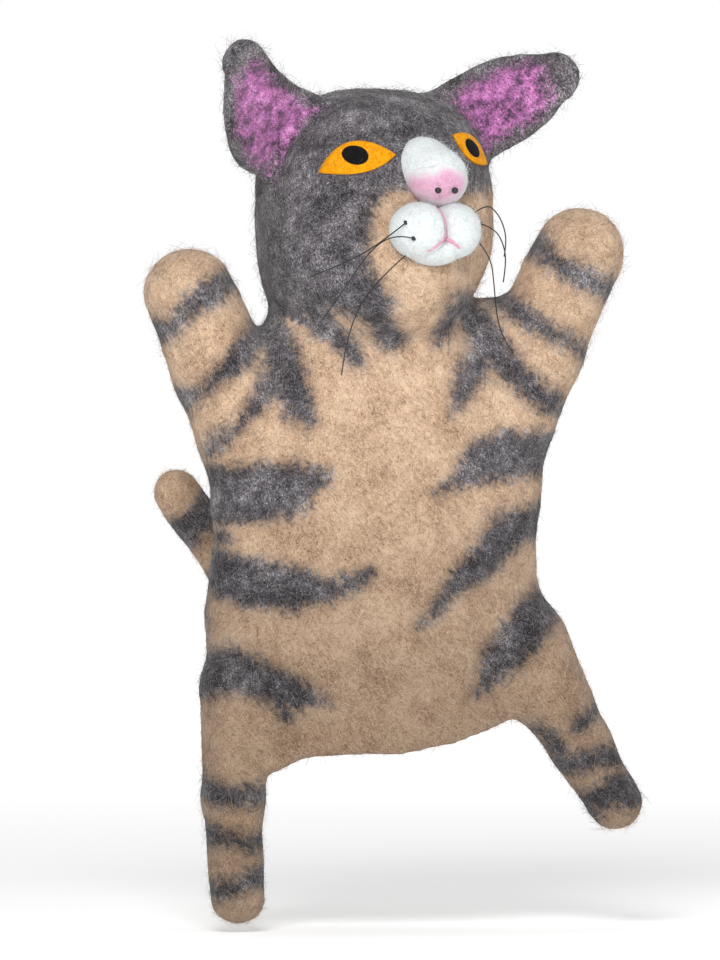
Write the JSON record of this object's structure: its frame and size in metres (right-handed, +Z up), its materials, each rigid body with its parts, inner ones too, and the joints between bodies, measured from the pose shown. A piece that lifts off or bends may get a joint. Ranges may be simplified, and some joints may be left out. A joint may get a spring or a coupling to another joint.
{
  "type": "hand puppet",
  "caption": "Glove hand puppet of a tabby cat in wet-felted wool: hollow head, neck, torso and raised arms, hanging legs, tail, felted face and thread whiskers.",
  "frame": {"origin": "middle of the hand opening, in the plane of the hem", "axes": "+Z up through the body towards the head, the chest faces -Y, the puppet's left side is at +X"},
  "size_m": [0.196, 0.1377, 0.3429],
  "materials": {
    "tan_felt": "wet-felted wool, matt and hairy",
    "grey_felt": "mottled wet-felted wool, matt and hairy",
    "pink_felt": "needle-felted wool",
    "yellow_felt": "cut felt",
    "black_felt": "cut felt",
    "white_felt": "needle-felted wool",
    "black_bead": "glossy bead",
    "waxed_thread": "waxed thread"
  },
  "bodies": {
    "glove": {"torso_shell": "tan_felt"},
    "neck": {"neck_sleeve": "tan_felt"},
    "head": {"head_shell": "grey_felt", "right_ear": "grey_felt", "left_ear": "grey_felt", "right_inner_ear": "pink_felt", "left_inner_ear": "pink_felt", "right_eye": "yellow_felt", "left_eye": "yellow_felt", "right_pupil": "black_felt", "left_pupil": "black_felt", "nose_bridge": "white_felt", "nose_pad": "pink_felt", "right_nostril": "black_bead", "left_nostril": "black_bead", "right_muzzle": "white_felt", "left_muzzle": "white_felt", "chin": "white_felt", "mouth_line": "pink_felt", "whisker_right_top": "waxed_thread", "whisker_right_middle": "waxed_thread", "whisker_right_low": "waxed_thread", "whisker_left_top": "waxed_thread", "whisker_left_middle": "waxed_thread", "whisker_left_low": "waxed_thread", "whisker_knots": "waxed_thread"},
    "right_upper_arm": {"right_upper_arm": "tan_felt"},
    "right_paw": {"right_paw": "tan_felt"},
    "left_upper_arm": {"left_upper_arm": "tan_felt"},
    "left_paw": {"left_paw": "tan_felt"},
    "right_thigh": {"right_thigh": "tan_felt"},
    "right_foot": {"right_foot": "tan_felt"},
    "left_thigh": {"left_thigh": "tan_felt"},
    "left_foot": {"left_foot": "tan_felt"},
    "tail_base": {"tail_base": "tan_felt"},
    "tail_tip": {"tail_tip": "tan_felt"}
  },
  "joints": [
    {"name": "head_turn", "type": "hinge", "parent": "glove", "child": "neck", "pos_m": [-0.003, -0.002, 0.188], "axis": [-0.0802, -0.2205, 0.9721], "range_deg": [-20, 20], "stiffness_Nm_per_rad": 0.3},
    {"name": "head_nod", "type": "hinge", "parent": "neck", "child": "head", "pos_m": [-0.003, -0.002, 0.188], "axis": [0.9455, 0.3256, 0], "range_deg": [-14, 14], "stiffness_Nm_per_rad": 0.4},
    {"name": "right_arm_lower", "type": "hinge", "parent": "glove", "child": "right_upper_arm", "pos_m": [-0.05, 0, 0.124], "axis": [0, -1, 0], "range_deg": [0, 35], "stiffness_Nm_per_rad": 0.15},
    {"name": "right_paw_bend", "type": "hinge", "parent": "right_upper_arm", "child": "right_paw", "pos_m": [-0.061, 0, 0.149], "axis": [0.9166, 0, 0.3999], "range_deg": [-10, 45], "stiffness_Nm_per_rad": 0.1},
    {"name": "left_arm_lower", "type": "hinge", "parent": "glove", "child": "left_upper_arm", "pos_m": [0.051, 0, 0.132], "axis": [0, 1, 0], "range_deg": [0, 35], "stiffness_Nm_per_rad": 0.15},
    {"name": "left_paw_bend", "type": "hinge", "parent": "left_upper_arm", "child": "left_paw", "pos_m": [0.0635, 0, 0.1575], "axis": [0.8978, 0, -0.4404], "range_deg": [-10, 45], "stiffness_Nm_per_rad": 0.1},
    {"name": "right_leg_splay", "type": "hinge", "parent": "glove", "child": "right_thigh", "pos_m": [-0.0535, -0.008, 0.004], "axis": [0, 1, 0], "range_deg": [-10, 35], "stiffness_Nm_per_rad": 0.1},
    {"name": "right_leg_swing", "type": "hinge", "parent": "right_thigh", "child": "right_foot", "pos_m": [-0.054, -0.008, -0.017], "axis": [-1, 0, 0], "range_deg": [-30, 35], "stiffness_Nm_per_rad": 0.08},
    {"name": "left_leg_splay", "type": "hinge", "parent": "glove", "child": "left_thigh", "pos_m": [0.064, -0.007, 0.019], "axis": [0, -1, 0], "range_deg": [-30, 10], "stiffness_Nm_per_rad": 0.1},
    {"name": "left_leg_swing", "type": "hinge", "parent": "left_thigh", "child": "left_foot", "pos_m": [0.0805, -0.008, 0.002], "axis": [-1, 0, 0], "range_deg": [-30, 35], "stiffness_Nm_per_rad": 0.08},
    {"name": "tail_lift", "type": "hinge", "parent": "glove", "child": "tail_base", "pos_m": [-0.01, 0.041, 0.03], "axis": [-1, 0, 0], "range_deg": [-3, 45], "stiffness_Nm_per_rad": 0.08},
    {"name": "tail_wag", "type": "hinge", "parent": "tail_base", "child": "tail_tip", "pos_m": [-0.041, 0.047, 0.06], "axis": [0, 1, 0], "range_deg": [-35, 35], "stiffness_Nm_per_rad": 0.05}
  ]
}
